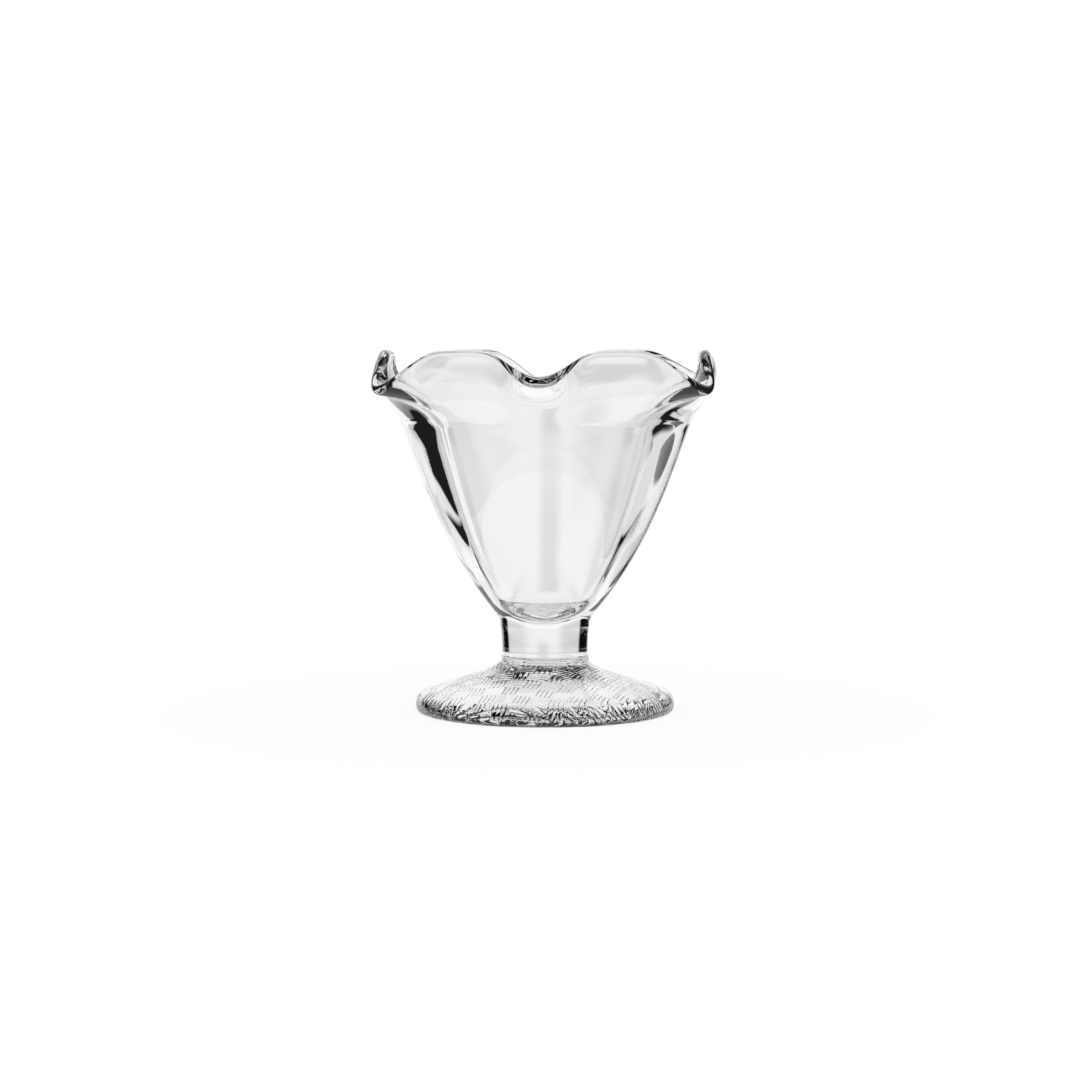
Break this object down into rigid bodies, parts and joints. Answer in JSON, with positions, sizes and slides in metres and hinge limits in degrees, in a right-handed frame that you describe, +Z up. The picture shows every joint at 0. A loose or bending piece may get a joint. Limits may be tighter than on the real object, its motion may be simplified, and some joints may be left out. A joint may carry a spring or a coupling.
{
  "type": "parfait glass",
  "caption": "Footed parfait glass of clear pressed glass with a lobed bowl, a ruffled lip, a short solid stem and a round hollow foot.",
  "frame": {"origin": "on the table plane, under the middle of the glass", "axes": "+Z up along the axis of the stem; the middle of one petal of the bowl faces -Y"},
  "size_m": [0.1066, 0.1154, 0.112],
  "materials": {
    "clear_glass": "clear colourless pressed glass, fire polished"
  },
  "bodies": {
    "root": {"bowl": "clear_glass", "stem": "clear_glass", "foot": "clear_glass"}
  },
  "joints": []
}
